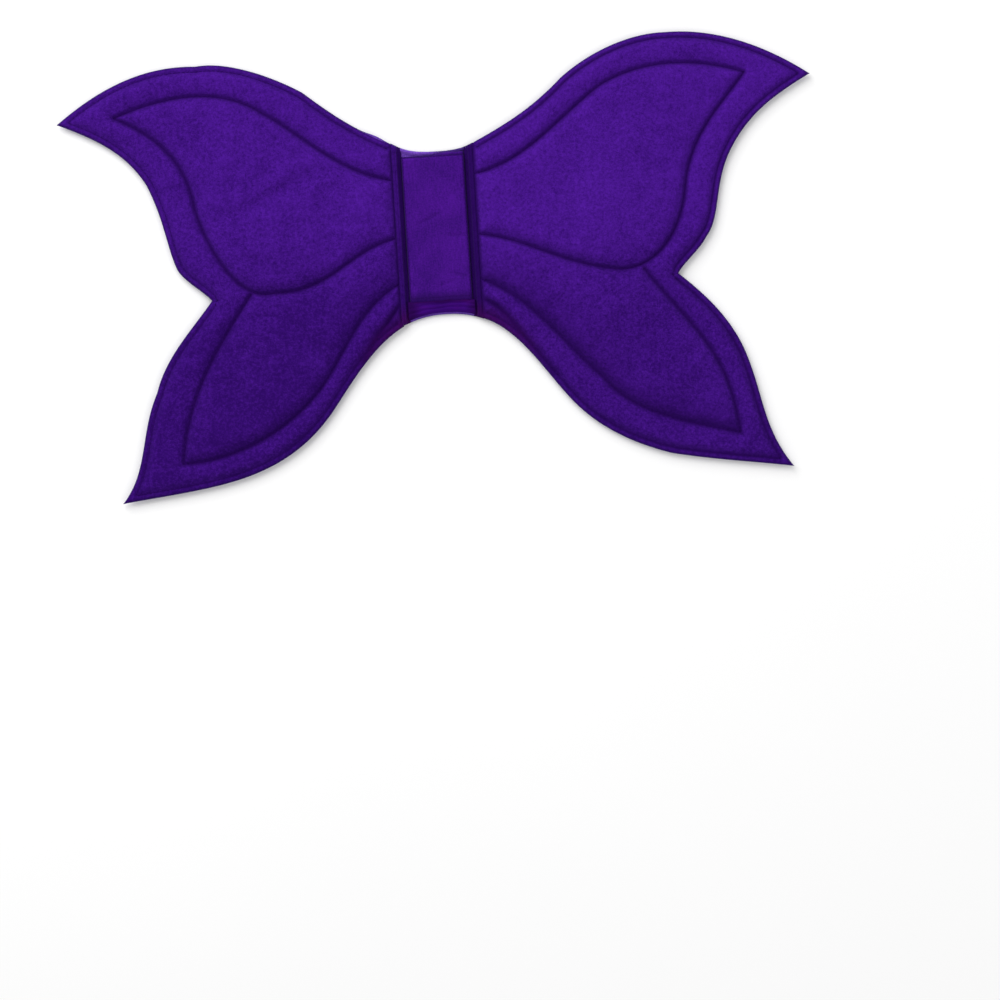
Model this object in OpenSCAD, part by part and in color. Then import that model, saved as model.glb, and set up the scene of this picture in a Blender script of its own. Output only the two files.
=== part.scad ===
// Dress-up fairy wings in felt, lying flat with the quilted face up.
// A stitched centre band joins two padded wings and carries two elastic shoulder loops.
// X runs along the span, Y points to the top of the wings, Z points out of the wearer's back.
// The origin is on the back face of the centre band, on the line between the two wings.

/* [Overall] */
// Distance between the two upper tips
span = 488; // [400:4:600]
// Height from the lower tips to the top of the upper lobes
height = 284; // [230:2:350]

/* [Wing layers] */
// Thickness of the felt on the front
felt_t = 1.5; // [1:0.1:2.5]
// Thickness of the lining cloth on the back of the wings and the band
lining_t = 1; // [0.6:0.1:1.5]
// Rise of the padded border above the stitched edge
border_puff = 3.4; // [2:0.1:6]
// Rise of the two padded cells above the stitched edge
cell_puff = 5.9; // [3:0.1:9]
// Thickness of the wadding where the quilting presses it
pressed_t = 0.6; // [0.3:0.1:1.2]

/* [Stitching] */
// Width of the flat felt left round the padding
edge_flat = 5; // [3.5:0.1:8]
// Distance from the felt's edge to the edge stitching
edge_seam = 3.8; // [2:0.1:6]
// Width of the valley along each quilting line
valley_w = 3; // [2:0.1:5]
// Width of a row of thread
thread_w = 0.8; // [0.5:0.1:1.2]
// Height of a row of thread above the cloth
thread_t = 0.4; // [0.2:0.1:0.8]

/* [Centre band] */
// Width of the smooth front panel
panel_w = 41; // [30:1:60]
// Thickness of the turned-in front panel cloth
panel_t = 1; // [0.6:0.1:1.5]
// Lining left showing above the front panel
lining_reveal = 2.5; // [1:0.5:6]
// Height of the rolled hem under the front panel
hem_h = 8; // [4:0.5:12]
// Lining left showing below the rolled hem
hem_reveal = 1; // [0.5:0.5:3]
// Width of the felt seam roll on each side of the panel
roll_w = 6; // [4:0.5:9]
// How far the band is sewn off the wings' middle line
band_shift = -2.5; // [-5:0.5:5]

/* [Shoulder straps] */
// Width of the elastic
strap_w = 12; // [8:1:20]
// Thickness of the elastic
strap_t = 1.2; // [0.8:0.1:2]
// Length of each straight leg of a loop
strap_leg = 85; // [60:1:102]
// Distance between the middles of a loop's two legs
strap_pitch = 76; // [60:1:80]
// Size of a bar tack along the strap
tack_w = 2.4; // [1.5:0.1:4]
// Depth that a bar tack sinks into the seam roll
tack_t = 0.6; // [0.3:0.1:0.9]

/* [Clearances] */
// Room between a strap and the back of the wing above it
strap_clear = 1.6; // [0.3:0.1:3]
// Room at each hinge line between the band and what turns on it
hinge_clear = 0.4; // [0.3:0.1:1]

/* [Hidden] */
$fn = 48;

LEFT = -1;
RIGHT = 1;

// Levels above the table, from the back face up
back_z = strap_t + strap_clear;
back_top = back_z + lining_t;
edge_top = back_top + felt_t;
valley_top = edge_top + pressed_t;
border_top = edge_top + border_puff;
cell_top = edge_top + cell_puff;
band_top = edge_top;

// The band and its two hinge lines
band_w = panel_w + 2 * roll_w;
function hinge_x(side) = band_w / 2 + side * band_shift;

// The curves are set out on a wing of this size and stretched to span and height
drawn = [488, 284];
curve_steps = 8;
function stretch(points) = [for (p = points) [p.x * span / drawn.x, p.y * height / drawn.y]];
function bezier(p, t) =
    pow(1 - t, 3) * p[0] + 3 * pow(1 - t, 2) * t * p[1] + 3 * (1 - t) * t * t * p[2] + pow(t, 3) * p[3];
// A chain of Bezier curves, without its last point
function curve(points) = stretch([
    for (k = [0 : 3 : len(points) - 4], i = [0 : curve_steps - 1])
        bezier([for (j = [0 : 3]) points[k + j]], i / curve_steps)
]);

// Right half of the outline, clockwise from the middle of the neck's top edge
neck_top = [[0, 51], [12, 51], [18, 52], [26, 56]];
lobe_top = [[26, 56], [50, 69], [64, 77], [84, 93], [102, 108], [132, 118], [152, 118],
    [185, 118], [217, 107], [244, 85]];
lobe_side = [[244, 85], [219, 72], [201, 63], [190, 39], [179, 17], [181, -3], [172, -16],
    [166, -24], [158, -31], [151, -37]];
tail_side = [[151, -37], [168, -54], [182, -72], [191, -94], [203, -119], [199, -143], [217, -166]];
tail_bottom = [[217, -166], [194, -162], [166, -160], [140, -154], [112, -145], [91, -132],
    [76, -113], [62, -96], [47, -69], [26, -60]];
neck_bottom = [[26, -60], [18, -57], [12, -55], [0, -55]];
half_outline = concat(curve(neck_top), curve(lobe_top), curve(lobe_side), curve(tail_side),
    curve(tail_bottom), curve(neck_bottom));
neck_top_y = half_outline[0].y;
neck_bottom_y = stretch([neck_bottom[3]])[0].y;

// Quilting lines of the right wing, carried on inside the seam so that each closes a cell
upper_line = concat(
    curve([[24, 36], [51, 47], [66, 52], [85, 70], [103, 88], [129, 101], [158, 101],
        [175, 101], [190, 95], [202, 91]]),
    curve([[202, 91], [183, 73], [166, 47], [161, 18], [157, -2], [145, -31], [125, -32],
        [91, -35], [66, -13], [24, -2]]),
    stretch([[24, -2], [4, 1], [4, 28]])
);
lower_line = concat(
    curve([[130, -33], [157, -60], [174, -91], [188, -142], [147, -139], [117, -122], [88, -93],
        [64, -71], [53, -46], [24, -32]]),
    stretch([[24, -32], [4, -24], [4, 20]])
);

// The front panel's height follows from the neck and what shows above and below it
panel_top = neck_top_y - lining_reveal;
panel_bottom = neck_bottom_y + hem_h;
panel_h = panel_top - panel_bottom;

FELT = [0.20, 0.07, 0.42];
FELT_EDGE = [0.16, 0.05, 0.35];
PANEL = [0.27, 0.09, 0.50];
LINING = [0.43, 0.30, 0.72];
THREAD = [0.09, 0.03, 0.24];
WADDING = [0.90, 0.89, 0.93];
ELASTIC = [0.17, 0.06, 0.36];

module slab(low, high) translate([0, 0, low]) linear_extrude(high - low) children();

// Everything on a side is drawn as the right one and turned over for the left
module on_side(side) mirror([side == LEFT ? 1 : 0, 0, 0]) children();

module whole_outline() {
    left_half = [for (i = [len(half_outline) - 1 : -1 : 1]) [-half_outline[i].x, half_outline[i].y]];
    polygon(concat(half_outline, [[0, neck_bottom_y]], left_half));
}

// A strip of the whole height between two X values
module upright(x0, x1) translate([x0, -height]) square([x1 - x0, 2 * height]);

module wing_outline(side) intersection() {
    whole_outline();
    upright(hinge_x(side) + hinge_clear, span);
}

module padded_outline(side) offset(delta = -edge_flat) wing_outline(side);

module upper_cell() polygon(upper_line);

module border_pad(side) difference() {
    padded_outline(side);
    offset(delta = valley_w / 2) upper_cell();
    offset(delta = valley_w / 2) polygon(lower_line);
}

module cell_pads(side) intersection() {
    padded_outline(side);
    union() {
        offset(delta = -valley_w / 2) upper_cell();
        difference() {
            offset(delta = -valley_w / 2) polygon(lower_line);
            offset(delta = valley_w / 2) upper_cell();
        }
    }
}

module wadding_shape(side) {
    slab(back_top, back_top + pressed_t) offset(delta = -felt_t) padded_outline(side);
    slab(back_top, border_top - felt_t) offset(delta = -felt_t) border_pad(side);
    slab(back_top, cell_top - felt_t) offset(delta = -felt_t) cell_pads(side);
}

// Felt face, stepped up over the wadding that it covers
module wing_front(side) color(FELT) on_side(side) difference() {
    union() {
        slab(back_top, edge_top) wing_outline(side);
        slab(back_top, valley_top) padded_outline(side);
        slab(back_top, border_top) border_pad(side);
        slab(back_top, cell_top) cell_pads(side);
    }
    wadding_shape(side);
}

module wing_back(side) color(LINING) on_side(side) slab(back_z, back_top) wing_outline(side);

module wing_wadding(side) color(WADDING) on_side(side) wadding_shape(side);

// One row of thread round the outer edge, open at the seam
module edge_stitching(side) color(THREAD) on_side(side)
    slab(edge_top, edge_top + thread_t) difference() {
        offset(delta = -(edge_seam - thread_w / 2)) wing_outline(side);
        offset(delta = -(edge_seam + thread_w / 2)) wing_outline(side);
        upright(0, hinge_x(side) + hinge_clear + edge_flat);
    }

// Rows of thread in the valleys between border and cells
module quilting(side) color(THREAD) on_side(side)
    slab(valley_top, valley_top + thread_t) difference() {
        union() {
            offset(delta = thread_w / 2) upper_cell();
            offset(delta = thread_w / 2) polygon(lower_line);
        }
        offset(delta = -thread_w / 2) upper_cell();
        difference() {
            offset(delta = -thread_w / 2) polygon(lower_line);
            offset(delta = thread_w / 2) upper_cell();
        }
        upright(0, hinge_x(side) + hinge_clear + edge_flat);
    }

module band_strip(x0, x1) intersection() {
    whole_outline();
    upright(band_shift + x0, band_shift + x1);
}

module panel_plan(inset) translate([band_shift - panel_w / 2 + inset, panel_bottom + inset])
    square([panel_w - 2 * inset, panel_h - 2 * inset]);

module centre_back_panel() color(LINING)
    slab(0, lining_t) band_strip(-panel_w / 2, panel_w / 2);

module interlining_shape() slab(lining_t, band_top - panel_t) panel_plan(panel_t);

module centre_interlining() color(WADDING) interlining_shape();

// Front cloth with its four edges turned in round the interlining
module centre_front_panel() color(PANEL) difference() {
    slab(lining_t, band_top) panel_plan(0);
    interlining_shape();
}

module bottom_hem() color(FELT_EDGE) slab(lining_t, band_top) intersection() {
    translate([0, hem_reveal]) whole_outline();
    translate([band_shift - panel_w / 2, panel_bottom - 2 * hem_h]) square([panel_w, 2 * hem_h]);
}

module panel_stitching() color(THREAD) slab(band_top, band_top + thread_t) difference() {
    panel_plan(thread_w);
    panel_plan(2 * thread_w);
}

// Two bar tacks, one over each end of a strap, sunk flush into the seam roll
module tack_shape(side) for (end = [-1, 1])
    translate([hinge_x(side) - roll_w / 2 - tack_w / 2, end * strap_pitch / 2 - strap_w / 2, 0])
        cube([tack_w, strap_w, tack_t]);

module strap_tacks(side) color(THREAD) on_side(side) tack_shape(side);

module seam_roll(side) color(FELT_EDGE) difference() {
    slab(0, band_top) band_strip(side == LEFT ? -band_w / 2 : panel_w / 2,
        side == LEFT ? -panel_w / 2 : band_w / 2);
    on_side(side) tack_shape(side);
}

module strap_plan(side, half) {
    start = hinge_x(side) + hinge_clear;
    turn = hinge_x(side) + strap_leg;
    translate([start, -half]) square([turn - start, 2 * half]);
    translate([turn, 0]) circle(half);
}

// Elastic loop lying flat: two straight legs joined by a half-round
module strap(side) color(ELASTIC) on_side(side) slab(0, strap_t) difference() {
    strap_plan(side, strap_pitch / 2 + strap_w / 2);
    strap_plan(side, strap_pitch / 2 - strap_w / 2);
}

centre_front_panel();
centre_back_panel();
centre_interlining();
bottom_hem();
seam_roll(LEFT);  // left_seam_roll
seam_roll(RIGHT);  // right_seam_roll
panel_stitching();
strap_tacks(LEFT);  // left_strap_tacks
strap_tacks(RIGHT);  // right_strap_tacks
wing_front(LEFT);  // left_wing_front
wing_back(LEFT);  // left_wing_back
wing_wadding(LEFT);  // left_wing_wadding
edge_stitching(LEFT);  // left_edge_stitching
quilting(LEFT);  // left_quilting
wing_front(RIGHT);  // right_wing_front
wing_back(RIGHT);  // right_wing_back
wing_wadding(RIGHT);  // right_wing_wadding
edge_stitching(RIGHT);  // right_edge_stitching
quilting(RIGHT);  // right_quilting
strap(LEFT);  // left_strap
strap(RIGHT);  // right_strap
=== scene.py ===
import math
import bmesh
import bpy
import numpy as np
from mathutils import Matrix, Vector, noise
from mathutils.bvhtree import BVHTree
from mathutils.geometry import delaunay_2d_cdt
from mathutils.kdtree import KDTree


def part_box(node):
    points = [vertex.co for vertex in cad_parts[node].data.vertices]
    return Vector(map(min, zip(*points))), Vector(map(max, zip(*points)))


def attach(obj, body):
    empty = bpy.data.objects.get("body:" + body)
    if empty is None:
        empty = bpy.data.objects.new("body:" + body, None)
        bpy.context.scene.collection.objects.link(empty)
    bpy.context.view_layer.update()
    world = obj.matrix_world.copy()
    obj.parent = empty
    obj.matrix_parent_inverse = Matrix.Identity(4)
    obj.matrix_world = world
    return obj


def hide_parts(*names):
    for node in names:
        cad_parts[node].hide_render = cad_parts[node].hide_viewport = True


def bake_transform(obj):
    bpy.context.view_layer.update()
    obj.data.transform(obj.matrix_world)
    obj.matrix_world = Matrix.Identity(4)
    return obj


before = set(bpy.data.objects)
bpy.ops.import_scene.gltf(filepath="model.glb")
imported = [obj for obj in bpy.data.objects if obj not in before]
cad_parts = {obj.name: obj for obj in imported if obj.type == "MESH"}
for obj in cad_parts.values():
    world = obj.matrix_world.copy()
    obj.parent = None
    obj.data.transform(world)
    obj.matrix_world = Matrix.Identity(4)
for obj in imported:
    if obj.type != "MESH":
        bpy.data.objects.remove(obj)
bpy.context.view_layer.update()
MM = 0.001

# --------------------------------------------------
# Camera, table and light. The wings lie face up on a white table and are seen from straight
# above, turned a little against the view. The main light comes over the top left.
VIEW_CENTRE = (27.3 * MM, -177.6 * MM)
VIEW_WIDTH = 650 * MM
VIEW_TURN = math.radians(-3.6)
LIT_SPOT = Vector((0, -0.1, 0))
WORLD_GLOW = 0.57
camera = bpy.data.objects.new("camera", bpy.data.cameras.new("camera"))
camera.data.sensor_width = 36
camera.data.lens = 100
camera.location = (*VIEW_CENTRE, VIEW_WIDTH * camera.data.lens / camera.data.sensor_width)
camera.rotation_euler = (0, 0, VIEW_TURN)
camera.data.clip_end = 20
bpy.context.collection.objects.link(camera)
bpy.context.scene.camera = camera
bpy.context.scene.view_settings.view_transform = "Standard"


def soft_light(name, place, width, power):
    """A square area light that faces the wings"""
    lamp = bpy.data.objects.new(name, bpy.data.lights.new(name, "AREA"))
    lamp.data.size = width
    lamp.data.energy = power
    lamp.location = place
    lamp.rotation_euler = (LIT_SPOT - Vector(place)).to_track_quat("-Z", "Y").to_euler()
    bpy.context.collection.objects.link(lamp)


soft_light("key_light", place=(-0.9, 1.3, 1.4), width=1.8, power=42)
soft_light("fill_light", place=(1.2, -0.9, 1.6), width=1.6, power=9)
world = bpy.data.worlds.new("studio")
world.use_nodes = True
world.node_tree.nodes["Background"].inputs["Color"].default_value = (1, 1, 1, 1)
world.node_tree.nodes["Background"].inputs["Strength"].default_value = WORLD_GLOW
bpy.context.scene.world = world


class Value:
    """A socket in a material's tree that takes part in Python arithmetic"""

    def __init__(self, finish, socket):
        self.finish = finish
        self.socket = socket

    def _math(self, operation, *values):
        return self.finish.node("ShaderNodeMath", {"operation": operation}, dict(enumerate(values)))

    def __add__(self, other):
        return self._math("ADD", self, other)

    def __sub__(self, other):
        return self._math("SUBTRACT", self, other)

    def __rsub__(self, other):
        return self._math("SUBTRACT", other, self)

    def __mul__(self, other):
        return self._math("MULTIPLY", self, other)

    __radd__ = __add__
    __rmul__ = __mul__


class Finish:
    """One material: its shader, and one method that adds any other node"""

    def __init__(self, name, **sockets):
        self.material = bpy.data.materials.new(name)
        self.material.use_nodes = True
        self.tree = self.material.node_tree
        self.shader = self.tree.nodes["Principled BSDF"]
        for key, value in sockets.items():
            self.shader.inputs[key.replace("_", " ")].default_value = value

    def node(self, kind, settings=None, inputs=None, output=0):
        made = self.tree.nodes.new(kind)
        for key, value in (settings or {}).items():
            setattr(made, key, value)
        for key, value in (inputs or {}).items():
            if isinstance(value, Value):
                self.tree.links.new(value.socket, made.inputs[key])
            else:
                made.inputs[key].default_value = value
        return Value(self, made.outputs[output])

    def noise(self, vector, scale, detail=2.0, roughness=0.5):
        return self.node("ShaderNodeTexNoise", {}, {"Vector": vector, "Scale": scale, "Detail": detail,
                                                    "Roughness": roughness})

    def place(self, scale=(1, 1, 1), turn=0.0):
        spot = self.node("ShaderNodeTexCoord", output="Object")
        return self.node("ShaderNodeMapping", {}, {"Vector": spot, "Scale": scale, "Rotation": (0, 0, turn)})

    def bands(self, axis, inputs):
        return self.node("ShaderNodeTexWave", {"wave_type": "BANDS", "bands_direction": axis}, inputs)

    def marked(self, name):
        """What mark_points kept under a name"""
        return self.node("ShaderNodeAttribute", {"attribute_name": name}, output="Fac")

    def fading(self, axis, low, high, most):
        """The most below low on one axis, nothing above high"""
        along = self.node("ShaderNodeSeparateXYZ", {}, {"Vector": self.place()}, output=axis)
        return self.node("ShaderNodeMapRange", {"interpolation_type": "SMOOTHSTEP"},
                         {"Value": along, "From Min": low, "From Max": high, "To Min": most, "To Max": 0.0})

    def between(self, share, low, high):
        """A colour between two others, each a plain colour or a link"""
        low, high = (c if isinstance(c, Value) else (*c, 1) for c in (low, high))
        return self.node("ShaderNodeMix", {"data_type": "RGBA"}, {6: low, 7: high, 0: share}, output=2)

    def join(self, colour, height=None, depth=0.0):
        """The finished material; height is the relief of its surface, depth how deep it goes"""
        self.tree.links.new(colour.socket, self.shader.inputs["Base Color"])
        if height:
            bump = self.node("ShaderNodeBump", {}, {"Height": height, "Distance": depth, "Strength": 1.0})
            self.tree.links.new(bump.socket, self.shader.inputs["Normal"])
        return self.material


table = bpy.data.objects.new("table", bpy.data.meshes.new("table"))
bm = bmesh.new()
bmesh.ops.create_grid(bm, x_segments=2, y_segments=2, size=4)
bm.to_mesh(table.data)
bm.free()
bpy.context.collection.objects.link(table)
table_paint = Finish("table_paint", Roughness=0.9, Specular_IOR_Level=0.1)
table_grain = table_paint.noise(table_paint.place(), 3.0)
table.data.materials.append(table_paint.join(
    table_paint.between(table_grain, (0.90, 0.90, 0.90), (0.92, 0.92, 0.92))))

# --------------------------------------------------
# Wing pattern. Both wings are cut from one pattern piece, the left one turned over, and each
# came out a little different. The outline, the quilting lines and the fold by the lower neck
# are smooth curves in millimetres, which end where the wing meets the centre band.
OUTLINE = {
    "right": [
        [(20, 52.6), (22, 53.6), (24, 54.6), (26, 55.8), (49.6, 67.1), (65.4, 76.3), (83.5, 93.3),
         (102.9, 108.9), (130, 119.4), (152.7, 118.6), (185.4, 119.6), (217.6, 106.1), (245, 86)],
        [(245, 86), (218.5, 72.1), (202.9, 61.1), (190.3, 38.9), (178.5, 17.4), (182, -3.4), (171.6, -15.5),
         (166.6, -24.2), (156.3, -30.9), (152, -38)],
        [(152, -38), (167.4, -51.5), (185.3, -69.5), (193.1, -93.6), (202.1, -119.7), (200.8, -142.7),
         (219.2, -167.5)],
        [(219.2, -167.5), (194, -163), (166, -160), (140, -154), (112, -145), (91, -132), (76, -113),
         (62, -96), (47, -69), (26, -60), (24, -59.1), (22, -58.3), (20, -57.7)]],
    "left": [
        [(20, 53), (22, 54), (24, 54.8), (26, 55.8), (50.3, 67.1), (64.4, 77.3), (84.1, 94.1), (102.9, 105.8),
         (132, 118), (152.3, 115.3), (185.3, 118), (215, 105.7), (244.4, 83)],
        [(244.4, 83), (219.3, 72.1), (200.9, 62.1), (188.7, 40.2), (178.2, 15.9), (178.1, -1.5), (172, -16.1),
         (167, -24.4), (156.5, -30.2), (151, -37)],
        [(151, -37), (165.8, -55.6), (183.6, -72), (190.3, -94.5), (203.3, -120.4), (198.9, -144.5),
         (216.8, -165)],
        [(216.8, -165), (196.6, -162.2), (163.8, -160), (140.6, -154), (110.1, -146.1), (91.3, -132),
         (76.2, -112.4), (62.4, -93.7), (46.8, -70.8), (26, -60.5), (24, -59.6), (22, -58.8), (20, -58)]]}
CELLS = {
    "right": {
        "upper": [
            [(20.3, 34.3), (27.5, 35.3), (31.6, 36), (38.9, 38.8), (63.5, 47.9), (81.7, 68.1),
             (108.2, 86.7), (136.2, 101.7), (169.7, 101.7), (202.6, 89.5)],
            [(202.6, 89.5), (184.3, 67), (165, 50.9), (159.9, 18.1), (155.7, -14.1), (135, -37.4),
             (109.5, -32.1), (72.1, -25.6), (54.6, -7.8), (20, -3.9)]],
        "lower": [
            [(130.1, -33.7), (160.1, -75.9), (181.4, -89.5), (185.7, -143.6)],
            [(185.7, -143.6), (156.3, -135.2), (117, -128.1), (99.6, -102.5), (76, -80.8), (56.8, -46),
             (21.3, -32.7)]]},
    "left": {
        "upper": [
            [(22.2, 32.5), (61.7, 36.8), (84.4, 66.3), (111.2, 82.3), (137.9, 102.1), (174.3, 97.5),
             (207.4, 84.9)],
            [(207.4, 84.9), (180.5, 71.5), (162.3, 55.8), (158.3, 22.2), (151.4, -4.7), (133.6, -39.6),
             (110.7, -34.5), (69.8, -36.4), (60.1, -6.2), (21.9, -3.1)]],
        "lower": [
            [(125.4, -34.6), (150.4, -69.1), (171.1, -98.7), (175.8, -141.6)],
            [(175.8, -141.6), (145.3, -141.5), (114, -128), (91.4, -106), (67.1, -83.7), (60.8, -45.5),
             (22.3, -30.8)]]}}
NECK_FOLD = {
    "right": [(22, -45.5), (30, -48.5), (38, -56), (43, -63), (48, -70), (54, -78), (59, -84.5), (62.5, -89),
              (66, -93.5), (69, -98)],
    "left": [(26, -44), (31.3, -49.2), (34, -53), (37.9, -58.4), (41, -62), (44, -65), (46.2, -67.9),
             (48.5, -71.5), (51, -76), (55, -82)]}
INSIDE_BAND = {"upper": [(4, 1), (4, 28)], "lower": [(4, -24), (4, 20)]}


def curve_points(controls, step):
    """Evenly spaced points, in metres, along joined Bezier curves given in millimetres"""
    fine = []
    share = np.linspace(0, 1, 60)[:, None]
    for k in range(0, len(controls) - 1, 3):
        p = [np.array(c, float) for c in controls[k:k + 4]]
        fine.append((1 - share) ** 3 * p[0] + 3 * (1 - share) ** 2 * share * p[1]
                    + 3 * (1 - share) * share ** 2 * p[2] + share ** 3 * p[3])
    fine = np.concatenate(fine)
    return even_points(fine * MM, step)


def even_points(fine, step):
    """The same line, cut again into even steps"""
    run = np.concatenate([[0], np.cumsum(np.linalg.norm(np.diff(fine, axis=0), axis=1))])
    steps = max(2, round(run[-1] / step))
    at = np.linspace(0, run[-1], steps + 1)
    return np.stack([np.interp(at, run, fine[:, 0]), np.interp(at, run, fine[:, 1])], axis=1)


def inside(polygon, points):
    """Which points lie in the polygon"""
    x, y = points[:, 0], points[:, 1]
    within = np.zeros(len(points), bool)
    for (x0, y0), (x1, y1) in zip(polygon, np.roll(polygon, -1, axis=0)):
        if y0 == y1:
            continue
        crosses = ((y0 > y) != (y1 > y)) & (x < (x1 - x0) * (y - y0) / (y1 - y0) + x0)
        within ^= crosses
    return within


class Near:
    """Distance from any point to a set of points along lines"""

    def __init__(self, points):
        self.tree = KDTree(len(points))
        for k, (x, y) in enumerate(points):
            self.tree.insert((x, y, 0), k)
        self.tree.balance()

    def __call__(self, points):
        return np.array([self.tree.find((x, y, 0))[2] for x, y in points])


def sideways(line):
    """The direction square to a line, at each of its points"""
    along = np.gradient(line, axis=0)
    along /= np.linalg.norm(along, axis=1)[:, None]
    return np.stack([along[:, 1], -along[:, 0]], axis=1)


def inner_line(line, region, distance):
    """A line shifted inwards, without the points that crowd into a corner"""
    shifted = line + distance * sideways(line)
    apart = Near(region)(shifted)
    return shifted[(apart > distance * 0.985) & inside(region, shifted)]


LINE_STEP = 1.4 * MM
EDGE_SEAM = 3.8 * MM
TUCK = 1.2 * MM
SIDES = {"left": -1, "right": 1}
SEAM_X = {"left": -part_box("left_seam_roll")[0].x, "right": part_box("right_seam_roll")[1].x}


class WingPattern:
    """The flat pattern of one wing, seen as the right wing, and its distances to every seam"""

    def __init__(self, side):
        self.side = side
        self.sign = SIDES[side]
        self.seam_x = SEAM_X[side]
        self.cut_x = self.seam_x - TUCK
        runs = [self._clip(curve_points(run, LINE_STEP)) for run in OUTLINE[side]]
        line = np.concatenate([run[:-1] for run in runs[:-1]] + [runs[-1]])
        across = np.linspace(line[-1], line[0], round(abs(line[0][1] - line[-1][1]) / LINE_STEP) + 1)
        self.outline = np.concatenate([line, across[1:-1]])
        self.edge = Near(line)
        self.edge_seam = inner_line(line, self.outline, EDGE_SEAM)
        self.edge_row = Near(self.edge_seam)
        self.cells = []
        self.seams = []
        for name, lines in CELLS[side].items():
            drawn = [curve_points(line, LINE_STEP) for line in lines]
            self.cells.append(np.concatenate(drawn + [np.array(INSIDE_BAND[name]) * MM]))
            self.seams += [self._clip(line) for line in drawn]
        self.fold = self._clip(curve_points(NECK_FOLD[side], LINE_STEP))
        self.folded = Near(self.fold)
        self.quilted = Near(np.concatenate(self.seams))
        self.lower_row = Near(self.seams[-1])
        self.flat_size = tuple(np.ptp(self.outline, axis=0))
        x, y = self.outline[:, 0], self.outline[:, 1]
        self.flat_area = abs(np.dot(x, np.roll(y, 1)) - np.dot(y, np.roll(x, 1))) / 2
        self.stitched = Near(np.concatenate(self.seams + [self.edge_seam]))

    def _clip(self, run):
        """The part of a line outside the band, ended exactly on the cut"""
        keep = run[:, 0] > self.cut_x
        if keep.all():
            return run
        k = int(np.argmax(keep)) if not keep[0] else int(np.argmin(keep))
        a, b = run[k - 1], run[k]
        cut = a + (b - a) * (self.cut_x - a[0]) / (b[0] - a[0])
        return np.concatenate([[cut], run[k:]]) if not keep[0] else np.concatenate([run[:k], [cut]])

    def flat_mesh(self, spacing, rings, offsets):
        """Points and triangles: rings inside the edge, rows beside each seam and the fold, even
        points between"""
        rows = [self.outline] + self.seams + [self.fold]
        rows += [inner_line(self.outline, self.outline, ring) for ring in rings]
        for seam in self.seams + [self.fold]:
            across = sideways(seam)
            for offset in offsets:
                for shifted in (seam + offset * across, seam - offset * across):
                    rows.append(shifted[Near(seam)(shifted) > offset * 0.97])
        placed = rows[0]
        for row in rows[1:]:
            apart = Near(placed)(row)
            placed = np.concatenate([placed, row[(apart > 0.45 * LINE_STEP) & inside(self.outline, row)]])
        low, high = self.outline.min(0), self.outline.max(0)
        columns = np.arange(low[0], high[0], spacing)
        lines = np.arange(low[1], high[1], spacing * math.sqrt(0.75))
        x, y = np.meshgrid(columns, lines)
        x = x + (np.arange(len(lines)) % 2)[:, None] * spacing / 2
        fill = np.stack([x.ravel(), y.ravel()], axis=1)
        fill = fill[inside(self.outline, fill)]
        fill = fill[Near(placed)(fill) > 0.72 * spacing]
        points = np.concatenate([placed, fill])
        count = len(self.outline)
        border = [(k, (k + 1) % count) for k in range(count)]
        flat = delaunay_2d_cdt([Vector(p) for p in points], border, [], 1, 1e-7)
        return np.array([tuple(v) for v in flat[0]]), [tuple(f) for f in flat[2]]


patterns = {side: WingPattern(side) for side in SIDES}


def new_piece(name, bm, material=None):
    """A mesh object at the origin, smooth shaded, made from a bmesh"""
    piece = bpy.data.objects.new(name, bpy.data.meshes.new(name))
    bm.to_mesh(piece.data)
    bm.free()
    piece.data.polygons.foreach_set("use_smooth", [True] * len(piece.data.polygons))
    bpy.context.collection.objects.link(piece)
    if material:
        piece.data.materials.append(material)
    return piece


# --------------------------------------------------
# Wing fronts. Needled felt laid over wadding, turned in along the edge and stitched down: one
# row near the edge, and the rows that draw the two cells. Between the rows the wadding lifts
# it, which a cloth simulation finishes. Each lower wing has a fold by its neck, tinged with red.
MID_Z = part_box("right_wing_back")[1].z
BAND_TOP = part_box("right_seam_roll")[1].z
FELT_THICK = 1.2 * MM
STITCHED_Z = MID_Z + 0.9 * MM
FRONT_PUFF = {"cell": 5.4 * MM, "border": 3.6 * MM}
FRONT_REACH = {"cell": 4.4 * MM, "border": 2.6 * MM}
DENTS = {"left": [((100, 31), 26, 5.5, -24, 2.0), ((64, 8), 14, 5, 15, 0.7), ((150, 70), 20, 7, 30, 0.6),
                  ((96, -62), 22, 6, 52, 0.8), ((150, -95), 16, 6, 75, 0.5)],
         "right": [((74, 22), 20, 6, 20, 0.7), ((128, 62), 24, 8, -30, 0.6), ((44, -22), 12, 3.5, -35, 0.9),
                   ((56, -36), 12, 3.5, -48, 0.8), ((118, -84), 26, 7, -52, 0.9),
                   ((160, -112), 14, 5, -60, 0.5)]}
FOLD_DEPTH = 3.3 * MM
FOLD_WIDTH = 1.4 * MM
FOLD_SPREAD = 0.6
BAND_SLOPE = 6 * MM
PRESS_REACH = 1.5 * MM
# painted shade over the lower cell beside its lower quilting row, stronger on the right wing
LOWER_CELL_SHADE = {"left": 0.3, "right": 0.75}
LOWER_CELL_SHADE_REACH = 9 * MM
EDGE_SHADE = 0.4
RIM_SHADE = 0.75
RED_OUT = (34 * MM, 70 * MM)
RED_DOWN = (40 * MM, 50 * MM)
RED_REACH = 7 * MM
REDDEST = 0.8
FRONT_MESH = (1.9 * MM, [0.3 * MM, 0.9 * MM, 1.9 * MM, 2.9 * MM, 3.8 * MM, 5.0 * MM], [1.1 * MM, 2.4 * MM])
SETTLE_MESH = (3.2 * MM, [0.3 * MM, 1.9 * MM, 3.8 * MM], [1.5 * MM])
SETTLE_FRAMES = 20
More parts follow.
